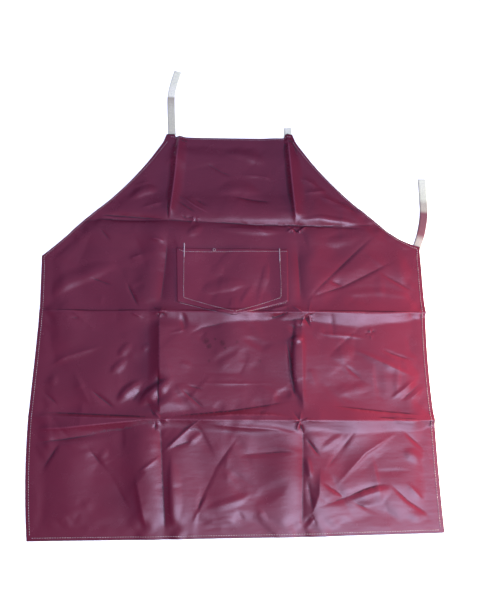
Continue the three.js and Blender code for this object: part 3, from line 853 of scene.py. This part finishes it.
def build_panel(material):
    """One sheet whose rim is turned under as a hem, as the solid is, with all its creases."""
    up, across = PLAN.shape[0] - 1, PLAN.shape[1] - 1
    rings = len(HEM_RINGS) - 1
    x, y = PLAN[..., 0], PLAN[..., 1]
    row, column = np.indices(x.shape)
    ring = np.min([row, column, up - row, across - column], axis=0)
    distance = np.where(ring <= rings, 0, edge_distance(x, y))
    height = panel_height(x, y, distance)
    inner = PLAN[np.clip(row, rings, up - rings), np.clip(column, rings, across - rings)]

    def layer(drop, inset):
        share = np.where(ring == 0, inset / HEM_WIDTH, 0.0)[..., None]
        flat = PLAN * (1 - share) + inner * share
        return np.dstack((flat, height - drop)).reshape(-1, 3)

    layers = (
        layer(-CLOTH, 0),
        layer(0, CLOTH),
        layer(HEM_GAP, CLOTH),
        layer(HEM_GAP + CLOTH, 0),
        layer(HEM_GAP / 2, -FOLD_BULGE),
    )
    places = np.concatenate(layers)
    upper, lower, strip_upper, strip_lower, turn = numbered(x.shape, len(layers))

    def filled(layer_numbers, lines, step, height_at):
        """Triangles of one face inside the hem, whose new points are added to the places."""
        nonlocal places
        rim = loop_of(layer_numbers, rings)
        flat, faces, on_rim = triangulated(places[rim, :2], lines, step)
        new = on_rim < 0
        numbers = np.where(new, len(places) + np.cumsum(new) - 1, rim[on_rim])
        flat = flat[new]
        added = np.column_stack((flat, height_at(flat[:, 0], flat[:, 1])))
        places = np.concatenate((places, added))
        return numbers[faces]

    face = filled(upper, crease_lines(), FILL_STEP, lambda a, b: lying_height(a, b) + CLOTH)
    bend = bend_of(places, face)
    back = filled(lower, [], LOWER_STEP, lowest_height)[:, ::-1]
    cell_row, cell_column = row[:-1, :-1], column[:-1, :-1]
    cell_ring = np.min([cell_row, cell_column, up - 1 - cell_row, across - 1 - cell_column], axis=0)
    in_strip = (cell_ring < rings).ravel()
    hem = np.concatenate((
        quads_of(upper)[in_strip],
        quads_of(lower)[in_strip][:, ::-1],
        quads_of(strip_upper)[in_strip],
        quads_of(strip_lower)[in_strip][:, ::-1],
        wall(loop_of(turn, 0), loop_of(upper, 0)),
        wall(loop_of(strip_lower, 0), loop_of(turn, 0)),
        wall(loop_of(lower, 0), loop_of(strip_upper, 0)),
        wall(loop_of(strip_upper, rings), loop_of(strip_lower, rings)),
    ))
    bend = np.pad(bend, (0, len(places) - len(bend)))
    places, faces, used = only_used(places, hem, face, back)
    # The rim marks the outermost ring; the cloth's material darkens it with painted shade
    rim = np.tile((ring == 0).ravel(), len(layers))
    rim = np.pad(rim, (0, len(bend) - len(rim)))
    stain = stain_of(places[:, 0], places[:, 1])
    attributes = {"stain": stain, "bend": bend[used], "rim": rim[used].astype(float)}
    panel = make_object("panel", places, faces, material, "coated_cloth", attributes)
    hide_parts("front_panel")
    return panel


def joined(meshes):
    """Places and faces of several meshes as those of one."""
    places, faces = [], []
    for some_places, some_faces in meshes:
        first = len(places)
        places.extend(some_places)
        faces.extend([first + k for k in face] for face in some_faces)
    return places, faces


def seen_from_above(*pieces):
    """A function that looks down on finished pieces for the height of the cloth at places in plan."""
    meshes = [
        ([vertex.co for vertex in made.data.vertices], [face.vertices for face in made.data.polygons])
        for made in pieces
    ]
    tree = BVHTree.FromPolygons(*joined(meshes))

    def height(x, y):
        starts = in_frame(np.column_stack((np.ravel(x), np.ravel(y), np.full(np.size(x), LOOK_FROM))))
        heights = [tree.ray_cast(Vector(start), Vector((0, 0, -1)))[0].z / MM for start in starts]
        return np.array(heights).reshape(np.shape(x))

    return height


def rim_moved(plan, reach):
    """The grid with its rim moved outwards in plan."""
    row, column = np.indices(plan.shape[:2])
    inner = plan[np.clip(row, 1, plan.shape[0] - 2), np.clip(column, 1, plan.shape[1] - 2)]
    away = plan - inner
    return plan + reach * away / np.maximum(np.linalg.norm(away, axis=-1, keepdims=True), TINY)


def highest_around(height):
    padded = np.pad(height, 1, mode="edge")
    rows, columns = height.shape
    return np.max([padded[a:a + rows, b:b + columns] for a in range(3) for b in range(3)], axis=0)


def build_pocket(material, below):
    """The patch lies on the panel, swells a little in its middle and has a rounded, turned edge."""
    s, t = np.meshgrid(np.linspace(0, 1, POCKET_CELLS[0] + 1), np.linspace(0, 1, POCKET_CELLS[1] + 1))
    feet = np.array(POCKET_FOOT, float)
    foot_x = feet[0, 0] + (feet[-1, 0] - feet[0, 0]) * s
    foot = np.dstack((foot_x, np.interp(foot_x, feet[:, 0], feet[:, 1])))
    top = mix(POCKET_TOP[0], POCKET_TOP[1], s[..., None])
    plan = mix(foot, top, t[..., None])
    held = highest_around(below(plan[..., 0], plan[..., 1]))
    height = held + POCKET_GAP + POCKET_SWELL * np.sin(math.pi * s) * np.sin(math.pi / 2 * t)
    lower, upper, turn = numbered(s.shape, 3)
    faces = np.concatenate((
        quads_of(upper),
        quads_of(lower)[:, ::-1],
        wall(loop_of(lower, 0), loop_of(turn, 0)),
        wall(loop_of(turn, 0), loop_of(upper, 0)),
    ))
    layers = ((plan, 0.0), (plan, CLOTH), (rim_moved(plan, POCKET_BULGE), CLOTH / 2))
    places = np.concatenate([np.dstack((flat, height + up)).reshape(-1, 3) for flat, up in layers])
    bend = bend_of(places, quads_of(upper))
    places, faces, used = only_used(places, faces)
    attributes = {"stain": np.zeros(len(places)), "bend": bend[used], "rim": np.zeros(len(places))}
    pocket = make_object("pocket_patch", places, faces, material, "pocket_cloth", attributes)
    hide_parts("pocket")
    return pocket


# Tapes
def curve_through(points, count):
    """Places evenly spread along a smooth curve through points."""
    points = np.asarray(points, float)
    padded = np.vstack((2 * points[0] - points[1], points, 2 * points[-1] - points[-2]))
    t = np.linspace(0, len(points) - 1, count)
    k = np.minimum(t.astype(int), len(points) - 2)
    u = (t - k)[:, None]
    a, b, c, d = (padded[k + step] for step in range(4))
    square, cube = 2 * a - 5 * b + 4 * c - d, 3 * b - a - 3 * c + d
    return b + ((c - a) * u + square * u ** 2 + cube * u ** 3) / 2


def turned_line(plan):
    """A tape that is folded back under itself: along the upper layer, round the turn and back below."""
    sewn, turn, end = plan
    low = TAPE_THICKNESS / 2
    radius = (TAPE_THICKNESS + TAPE_GAP) / 2
    angles = np.linspace(math.pi / 2, -math.pi / 2, TURN_STEPS + 1)
    reach = turn[1] - low + radius * (np.cos(angles) - 1)
    bend = np.column_stack((np.full_like(reach, turn[0]), reach, low + radius + radius * np.sin(angles)))
    runs = TAPE_CELLS[0] // 3
    there = mix((*sewn, low + 2 * radius), bend[0], np.linspace(0, 1, runs)[:-1, None])
    back = mix(bend[-1], (*end, low), np.linspace(0, 1, runs)[1:, None])
    return np.concatenate((there, bend, back))


def tape_line(name):
    plan = TAPES[name]
    if name == TURNED_TAPE:
        return turned_line(plan)
    flat = curve_through(plan, TAPE_CELLS[0] + 1)
    return np.column_stack((flat, np.full(len(flat), TAPE_THICKNESS / 2)))


def build_tape(name, material, slot):
    """A woven strip with soft edges along its middle line."""
    line = tape_line(name)
    steps = np.gradient(line, axis=0)
    tangent = steps / np.linalg.norm(steps, axis=1, keepdims=True)
    sideways = np.cross(tangent, (0.0, 0.0, 1.0))
    if name == TURNED_TAPE:
        sideways = np.tile((1.0, 0.0, 0.0), (len(line), 1))
    sideways /= np.linalg.norm(sideways, axis=1, keepdims=True)
    normal = np.cross(sideways, tangent)
    across = np.linspace(-1, 1, TAPE_CELLS[1] + 1)
    half = TAPE_THICKNESS / 2 * np.sqrt(1 - TAPE_THINNING * across ** TAPE_EDGE_POWER)
    middle = line[:, None] + sideways[:, None] * (across * TAPE_WIDTH / 2)[None, :, None]
    lift = normal[:, None] * half[None, :, None]
    places = np.concatenate(((middle - lift).reshape(-1, 3), (middle + lift).reshape(-1, 3)))
    lower, upper = numbered(middle.shape[:2], 2)
    faces = np.concatenate((
        quads_of(lower),
        quads_of(upper)[:, ::-1],
        wall(loop_of(upper, 0), loop_of(lower, 0)),
    ))
    gone = gone_along(line)
    share = gone[:, None] / gone[-1]
    if name == TURNED_TAPE:
        share = 1 - share
    woven = np.dstack(np.broadcast_arrays(share, across[None], gone[:, None] * MM)).reshape(-1, 3)
    tape = make_object(name + "_strip", places, faces, material, slot, {"tape": np.tile(woven, (2, 1))})
    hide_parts(name)


# Thread
def stitch_ends(path, step):
    points = even_points(path, step)
    margin = (1 - STITCH_SHARE) / 2
    return np.stack([mix(points[:-1], points[1:], t) for t in (margin, 1 - margin)], axis=1)


def zigzag_ends(bar):
    points = even_points(bar, BAR_PITCH / 2)
    way = np.subtract(bar[1], bar[0]) / np.linalg.norm(np.subtract(bar[1], bar[0]))
    side = np.array((way[1], -way[0])) * BAR_WIDTH / 2
    swing = points + side * np.where(np.arange(len(points)) % 2, 1.0, -1.0)[:, None]
    return np.stack((swing[:-1], swing[1:]), axis=1)


def stitch_mesh(ends, below):
    """Short arched threads between pairs of plan points, sunk into the cloth at both ends."""
    along, raised, thick = np.array(STITCH_STATIONS).T
    middle = ends[:, :1] + (ends[:, 1:] - ends[:, :1]) * along[None, :, None]
    height = below(middle[..., 0], middle[..., 1]) + THREAD * raised
    way = (ends[:, 1] - ends[:, 0]) / np.linalg.norm(ends[:, 1] - ends[:, 0], axis=1, keepdims=True)
    side = np.column_stack((way[:, 1], -way[:, 0], np.zeros(len(way))))
    turn = np.arange(STITCH_SIDES) * math.tau / STITCH_SIDES
    centre = np.dstack((middle, height))[:, :, None]
    radius = (THREAD * thick)[None, :, None, None]
    spread = side[:, None, None] * np.cos(turn)[None, None, :, None]
    spread = spread + np.array((0, 0, 1)) * np.sin(turn)[:, None]
    places = (centre + radius * spread).reshape(-1, 3)
    index = np.arange(len(places)).reshape(len(ends), len(along), STITCH_SIDES)
    beside = np.roll(index, -1, axis=2)
    tubes = np.stack((index[:, :-1], index[:, 1:], beside[:, 1:], beside[:, :-1]), axis=-1).reshape(-1, 4)
    caps = [list(ring) for ring in index[:, 0]] + [list(ring[::-1]) for ring in index[:, -1]]
    return places, [list(face) for face in tubes] + caps


def ring_mesh(centre, below):
    """A small loop of thread that lies on the cloth."""
    round_angle, tube_angle = (np.arange(n) * math.tau / n for n in RING_STEPS)
    out = RING_RADIUS + THREAD * np.cos(tube_angle)[None, :]
    x = centre[0] + out * np.cos(round_angle)[:, None]
    y = centre[1] + out * np.sin(round_angle)[:, None]
    level = below(np.array([centre[0]]), np.array([centre[1]]))[0]
    z = np.broadcast_to(level + THREAD * (RING_LIFT + np.sin(tube_angle)), x.shape)
    index = np.arange(x.size).reshape(x.shape)
    ahead, beside = np.roll(index, -1, axis=0), np.roll(index, -1, axis=1)
    faces = np.stack((index, ahead, np.roll(ahead, -1, axis=1), beside), axis=-1).reshape(-1, 4)
    return np.dstack((x, y, z)).reshape(-1, 3), [list(face) for face in faces]


def inset_line(edge, depths):
    """Plan points at depths in from one edge of the panel, along the hem's rings."""
    rings = np.array(HEM_RINGS)
    depths = np.broadcast_to(depths, edge.shape[1])
    return np.array([
        [np.interp(depth, rings, edge[:, k, axis]) for axis in range(2)]
        for k, depth in enumerate(depths)
    ])


def hem_rows():
    """Paths of the hem's stitches: the two sides with their armholes, the bottom and the top."""
    rings = range(len(HEM_RINGS))
    left, right, foot, top = (
        np.array([PLAN.take(k if first else -1 - k, axis) for k in rings])
        for axis, first in ((1, True), (1, False), (0, True), (0, False))
    )
    armhole, bib = line_height("waist", 0), line_height("top", 0)
    reach = (armhole - ARMHOLE_START, armhole + ARMHOLE_RISE, bib - CORNER_REACH, bib)
    left_depth, right_depth = (
        np.interp(edge[0, :, 1], reach, (inset, ARMHOLE_INSET, ARMHOLE_INSET, CORNER_INSET))
        for edge, inset in ((left, SIDE_INSET), (right, RIGHT_INSET))
    )
    rows = ((left, left_depth), (right, right_depth), (foot, FOOT_INSET), (top, TOP_INSET))
    return [inset_line(edge, depth)[rings[-1]:-rings[-1]] for edge, depth in rows]


def build_thread(material, panel, pocket):
    cloth = seen_from_above(panel)
    rows = np.concatenate([stitch_ends(row, HEM_STITCH) for row in hem_rows()])
    hem = make_object("hem_stitches", *stitch_mesh(rows, cloth), material, "neck_tape")
    both = seen_from_above(panel, pocket)
    seams = np.concatenate([stitch_ends(row, POCKET_STITCH) for row in POCKET_SEAMS])
    bars = np.concatenate([zigzag_ends(bar) for bar in BARS])
    meshes = [stitch_mesh(seams, both), stitch_mesh(bars, both), ring_mesh(RING, both)]
    return hem, make_object("pocket_stitches", *joined(meshes), material, "neck_tape")


# Materials. A noise has a scale and a detail, a wave a scale and a distortion, and a bump a strength and a
# distance in metres. A range has the two values that come in and the two that go out.
CLOUD_NOISE = (9.0, 5.0)
CLOUD_ENDS = (0.3, 0.7)
CLOTH_COLOURS = ((0.082, 0.0081, 0.0207), (0.095, 0.0096, 0.0240))
# The pocket's colours are the cloth's made about a tenth lighter, which is painted light
POCKET_COLOURS_PAINTED_LIGHTER = ((0.091, 0.0087, 0.0222), (0.105, 0.0103, 0.0257))
SPECK_NOISE = (300.0, 3.0)
STAIN_RANGE = (0.12, 0.45, 0.0, 0.75)
STAIN_COLOUR = (0.04, 0.0027, 0.007)
RUBBED_RANGE = (0.05, 0.25, 0.0, 0.4)
RUBBED_COLOUR = (0.2, 0.04, 0.073)
# Grooves and the hem's outer rim are mixed towards a near-black colour, which is painted shade, and made
# matt
GROOVE_SHADE_RANGE = (-0.04, -0.16, 0.0, 0.75)
PAINTED_SHADE_COLOUR = (0.02, 0.004, 0.01)
SHINE_NOISE = (34.0, 4.0)
GLOSS_RANGE = (0.3, 0.7, 0.20, 0.29)
MATT_RANGE = (0.0, 1.0, 0.2, 0.8)
CLOTH_SPECULAR = 0.33
CRUMPLE_STRETCH = (0.35, 1.0, 1.0)
CRUMPLE_NOISE = (70.0, 4.0)
CRUMPLE_BUMP = (0.6, 0.0008)
GRAIN_SCALE = 850.0
GRAIN_BUMP = (0.12, 0.0002)
BORDER_RANGE = (-0.45, -0.95, 0.0, 0.6)
NECK_BORDER = (0.7, 0.7, 0.72)
WAIST_BORDER = (0.45, 0.42, 0.45)
WEFT = (180.0, 1.0)
WARP = (3.2, 0.6)
WEAVE_BUMP = (0.6, 0.0004)
FUZZ_NOISE = (420.0, 3.0)
FUZZ_STOPS = ((0.3, (0.72, 0.72, 0.72)), (0.7, (1.0, 1.0, 1.0)))
FUZZ_SHARE = 0.8
TAPE_ROUGHNESS = (0.3, 0.7, 0.75, 0.95)
THREAD_NOISE = (60.0, 3.0)
THREAD_STOPS = ((0.35, (0.2, 0.14, 0.17)), (0.65, (0.36, 0.29, 0.33)))
THREAD_ROUGHNESS = (0.0, 1.0, 0.5, 0.7)
TWIST = (700.0, 1.5, "DIAGONAL")
TWIST_BUMP = (0.5, 0.0002)
FLOOR_NOISE = (3.0, 3.0)
FLOOR_STOPS = ((0.3, (0.88, 0.88, 0.88)), (0.7, (0.92, 0.92, 0.92)))
FLOOR_ROUGHNESS = 0.9
FLOOR_GLOW = 0.4
MIX_INPUTS = (0, 6, 7)
MIX_OUTPUT = 2
RAMP_MIDDLE = 0.5


def fed(tree, made, inputs):
    """A node with its inputs by name or number: a link from a socket, or a value."""
    for name, value in inputs.items():
        if isinstance(value, bpy.types.NodeSocket):
            tree.links.new(value, made.inputs[name])
        else:
            made.inputs[name].default_value = value
    return made


def node(tree, kind, settings, inputs):
    made = tree.nodes.new("ShaderNode" + kind)
    for name, value in settings.items():
        setattr(made, name, value)
    return fed(tree, made, inputs)


def ramp(tree, factor, stops):
    made = node(tree, "ValToRGB", {}, {"Fac": factor})
    elements = made.color_ramp.elements
    while len(elements) < len(stops):
        elements.new(RAMP_MIDDLE)
    for element, (place, colour) in zip(elements, stops):
        element.position = place
        element.color = (*colour, 1)
    return made.outputs["Color"]


def mixed(tree, blend, factor, a, b):
    settings = {"data_type": "RGBA", "blend_type": blend}
    return node(tree, "Mix", settings, dict(zip(MIX_INPUTS, (factor, a, b)))).outputs[MIX_OUTPUT]


def noise(tree, place, scale, detail):
    return node(tree, "TexNoise", {}, {"Vector": place, "Scale": scale, "Detail": detail}).outputs["Fac"]


def wave(tree, place, scale, distortion, direction="X"):
    inputs = {"Vector": place, "Scale": scale, "Distortion": distortion}
    return node(tree, "TexWave", {"bands_direction": direction}, inputs).outputs["Fac"]


def between(tree, *value_and_range):
    return node(tree, "MapRange", {}, dict(enumerate(value_and_range))).outputs[0]


def combined(tree, operation, *values):
    return node(tree, "Math", {"operation": operation}, dict(enumerate(values))).outputs[0]


def attribute(tree, name, output):
    return node(tree, "Attribute", {"attribute_name": name}, {}).outputs[output]


def bump(tree, height, strength, distance, **under):
    inputs = {"Height": height, "Strength": strength, "Distance": distance, **under}
    return node(tree, "Bump", {}, inputs).outputs[0]


def new_material(name):
    material = bpy.data.materials.new(name)
    material.use_nodes = True
    tree = material.node_tree
    place = node(tree, "TexCoord", {}, {}).outputs["Object"]
    return material, tree, tree.nodes["Principled BSDF"], place


def coated_cloth(name, colours):
    """Maroon coated cloth: cloudy colour, stains, rubbed ridges, grooves and the hem's outer rim darkened
    with painted shade and made matt, grain and uneven gloss.
    """
    material, tree, shader, place = new_material(name)
    stain, bend, rim = (attribute(tree, title, "Fac") for title in ("stain", "bend", "rim"))
    stained = combined(tree, "MULTIPLY", stain, noise(tree, place, *SPECK_NOISE))
    # Painted shade: a share that darkens the grooves and the hem's outer rim, and also makes them matt
    painted_shade_and_matt = combined(tree, "MAXIMUM", rim, between(tree, bend, *GROOVE_SHADE_RANGE))
    colour = ramp(tree, noise(tree, place, *CLOUD_NOISE), tuple(zip(CLOUD_ENDS, colours)))
    # Stains and rubbed ridges are marks on the cloth; the last mix darkens the grooves and the rim with
    # painted shade
    for share, wear_and_shade in (
        (between(tree, stained, *STAIN_RANGE), STAIN_COLOUR),
        (between(tree, bend, *RUBBED_RANGE), RUBBED_COLOUR),
        (painted_shade_and_matt, PAINTED_SHADE_COLOUR),
    ):
        colour = mixed(tree, "MIX", share, colour, (*wear_and_shade, 1))
    gloss = between(tree, noise(tree, place, *SHINE_NOISE), *GLOSS_RANGE)
    stretched = node(tree, "Mapping", {}, {"Vector": place, "Scale": CRUMPLE_STRETCH}).outputs[0]
    crumpled = bump(tree, noise(tree, stretched, *CRUMPLE_NOISE), *CRUMPLE_BUMP)
    grain = node(tree, "TexVoronoi", {"feature": "SMOOTH_F1"}, {"Vector": place, "Scale": GRAIN_SCALE})
    fed(tree, shader, {
        "Base Color": colour,
        "Roughness": combined(tree, "MAXIMUM", gloss, between(tree, painted_shade_and_matt, *MATT_RANGE)),
        "Specular IOR Level": CLOTH_SPECULAR,
        "Normal": bump(tree, grain.outputs["Distance"], *GRAIN_BUMP, Normal=crumpled),
    })
    return material


def tape_cloth(name, stops, border_colour):
    """Woven tape: its colour along its length, a darker edge, crossing threads and a matt face."""
    material, tree, shader, place = new_material(name)
    share, across, along = node(tree, "SeparateXYZ", {}, {0: attribute(tree, "tape", "Vector")}).outputs
    border = between(tree, across, *BORDER_RANGE)
    colour = mixed(tree, "MULTIPLY", border, ramp(tree, share, stops), (*border_colour, 1))
    weft, warp = (
        wave(tree, node(tree, "CombineXYZ", {}, {0: way}).outputs[0], *threads)
        for way, threads in ((along, WEFT), (across, WARP))
    )
    fuzz = noise(tree, place, *FUZZ_NOISE)
    fed(tree, shader, {
        "Base Color": mixed(tree, "MULTIPLY", FUZZ_SHARE, colour, ramp(tree, fuzz, FUZZ_STOPS)),
        "Roughness": between(tree, fuzz, *TAPE_ROUGHNESS),
        "Normal": bump(tree, combined(tree, "ADD", weft, warp), *WEAVE_BUMP),
    })
    return material


def thread_material():
    """Pale sewing thread with a twist."""
    material, tree, shader, place = new_material("sewing_thread")
    strands = wave(tree, place, *TWIST)
    fed(tree, shader, {
        "Base Color": ramp(tree, noise(tree, place, *THREAD_NOISE), THREAD_STOPS),
        "Roughness": between(tree, strands, *THREAD_ROUGHNESS),
        "Normal": bump(tree, strands, *TWIST_BUMP),
    })
    return material


def floor_material():
    material, tree, shader, place = new_material("pale_floor")
    fed(tree, shader, {
        "Base Color": ramp(tree, noise(tree, place, *FLOOR_NOISE), FLOOR_STOPS),
        "Roughness": FLOOR_ROUGHNESS,
        "Emission Color": (1.0, 1.0, 1.0, 1.0),
        "Emission Strength": FLOOR_GLOW,
    })
    return material


GREY = (0.62, 0.6, 0.43)
DULL = (0.5, 0.44, 0.31)
WHITE = (0.96, 0.95, 0.71)
PALE = (0.9, 0.9, 0.64)
NECK_STOPS = (
    (0.0, GREY), (0.5, GREY), (0.64, DULL), (0.66, WHITE), (0.77, WHITE), (0.83, PALE), (1.0, PALE),
)
ROSE = (0.35, 0.295, 0.3)
MAUVE = (0.17, 0.063, 0.084)
ASH = (0.36, 0.325, 0.295)
STONE = (0.56, 0.57, 0.49)
CREAM = (0.82, 0.82, 0.65)
WAIST_STOPS = (
    (0.0, ROSE), (0.24, ROSE), (0.31, MAUVE), (0.57, MAUVE),
    (0.61, ASH), (0.69, ASH), (0.75, STONE), (1.0, CREAM),
)


# Stage, in metres. The sky has soft round patches: direction, radiance, sharpness and colour of each. A
# window has its place, what it faces, its size and its radiance.
SKY_PATCHES = (
    ((0.0, 0.3, 0.95), 1.15, 4.0, (0.48, 0.56, 1.0)),
    ((0.26, -0.44, 0.86), 16.5, 26.0, (0.66, 0.68, 1.0)),
)
WINDOWS = {
    "south_window": ((0.3, -2.2, 0.8), (0, 0, 0), (2.4, 0.8), 6.0),
    "side_window": ((0.95, 0.0, 0.22), (0.65, -0.9, 0), (0.35, 0.25), 222.0),
}
WINDOW_COLOUR = (1.0, 0.93, 0.6)
FLOOR_SIZE = 12
FLOOR_LEVEL = -0.0002


def build_floor():
    bpy.ops.mesh.primitive_plane_add(size=FLOOR_SIZE, location=(0, 0, FLOOR_LEVEL))
    floor = bpy.context.object
    floor.name = "floor"
    floor.data.materials.append(floor_material())


def build_window(name, place, aim, size, radiance):
    data = bpy.data.lights.new(name, "AREA")
    data.shape = "RECTANGLE"
    data.size, data.size_y = size
    data.energy = radiance * math.pi * size[0] * size[1]
    data.color = WINDOW_COLOUR
    light = bpy.data.objects.new(name, data)
    light.location = place
    light.rotation_euler = (Vector(aim) - Vector(place)).to_track_quat("-Z", "Y").to_euler()
    light.visible_camera = False
    light.visible_glossy = False
    bpy.context.collection.objects.link(light)


def sky_patch(tree, place, way, radiance, sharpness, colour):
    """The light of a soft round patch of sky."""
    aim = [sharpness * part for part in way]
    towards = node(tree, "VectorMath", {"operation": "DOT_PRODUCT"}, {0: place, 1: aim}).outputs["Value"]
    strength = combined(tree, "EXPONENT", combined(tree, "ADD", towards, math.log(radiance) - sharpness))
    return node(tree, "VectorMath", {"operation": "SCALE"}, {0: colour, "Scale": strength}).outputs[0]


def build_lights():
    for name, window in WINDOWS.items():
        build_window(name, *window)
    world = bpy.data.worlds.new("studio")
    world.use_nodes = True
    tree = world.node_tree
    place = node(tree, "TexCoord", {}, {}).outputs["Generated"]
    patches = dict(enumerate(sky_patch(tree, place, *patch) for patch in SKY_PATCHES))
    sky = node(tree, "VectorMath", {"operation": "ADD"}, patches).outputs[0]
    fed(tree, tree.nodes["Background"], {"Color": sky})
    bpy.context.scene.world = world
    bpy.context.scene.view_settings.view_transform = "Standard"


def build_camera():
    image_right, image_down, forward = camera_axes()
    data = bpy.data.cameras.new("camera")
    data.sensor_fit = "HORIZONTAL"
    data.sensor_width = SENSOR_WIDTH
    data.lens = SENSOR_WIDTH * FOCAL_PIXELS / IMAGE_WIDTH
    camera = bpy.data.objects.new("camera", data)
    turned = Matrix((image_right, -image_down, -forward)).transposed().to_4x4()
    place = in_frame((*CAMERA_FOOT, CAMERA_HEIGHT))
    camera.matrix_world = Matrix.Translation(Vector(place)) @ turned
    bpy.context.collection.objects.link(camera)
    bpy.context.scene.camera = camera


panel = build_panel(coated_cloth("coated_cloth", CLOTH_COLOURS))
# The pocket uses the cloth's colours made lighter: painted light
pocket = build_pocket(coated_cloth("pocket_cloth", POCKET_COLOURS_PAINTED_LIGHTER), seen_from_above(panel))
neck_cloth = tape_cloth("neck_tape", NECK_STOPS, NECK_BORDER)
waist_cloth = tape_cloth("waist_tape", WAIST_STOPS, WAIST_BORDER)
for tape_name in TAPES:
    on_waist = tape_name.startswith("waist")
    build_tape(tape_name, waist_cloth if on_waist else neck_cloth, "waist_tape" if on_waist else "neck_tape")
hem_stitches, pocket_stitches = build_thread(thread_material(), panel, pocket)
build_floor()
build_lights()
build_camera()
